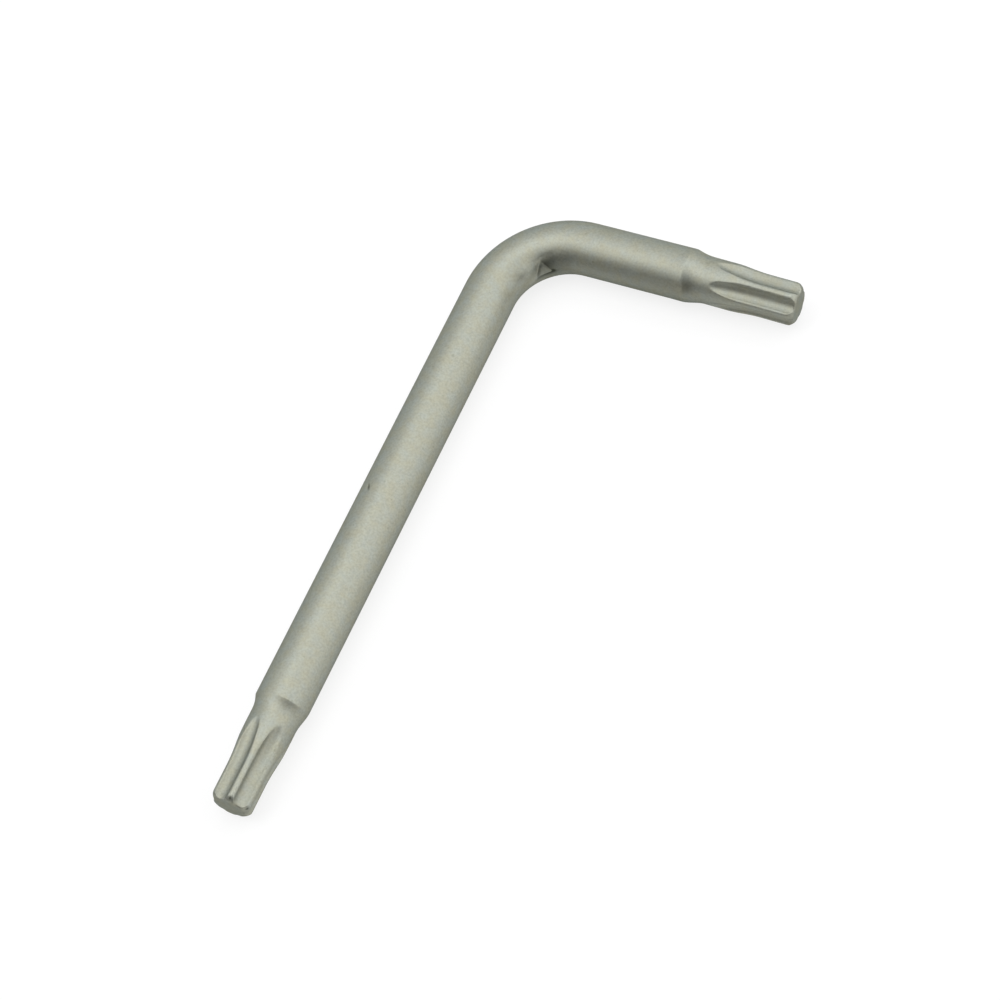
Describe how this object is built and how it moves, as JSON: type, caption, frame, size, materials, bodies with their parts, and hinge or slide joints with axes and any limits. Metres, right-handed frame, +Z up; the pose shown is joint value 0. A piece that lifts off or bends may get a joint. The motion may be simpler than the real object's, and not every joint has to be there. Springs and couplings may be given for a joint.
{
  "type": "star key",
  "caption": "L-shaped hand key bent from round bar, with a six-lobe star tip on a necked-down shoulder at each end, for turning star-socket screws.",
  "frame": {"origin": "on the table under the middle of the key's outline, with the key lying flat", "axes": "+Z up, across the bar; the long arm points along -Y and the short arm along +X"},
  "size_m": [0.0338, 0.0712, 0.0055],
  "materials": {
    "satin_nickel": "satin nickel plate on steel, fine matt grain"
  },
  "bodies": {
    "root": {"long_arm": "satin_nickel", "bend": "satin_nickel", "short_arm": "satin_nickel", "long_star_tip": "satin_nickel", "short_star_tip": "satin_nickel"}
  },
  "joints": []
}
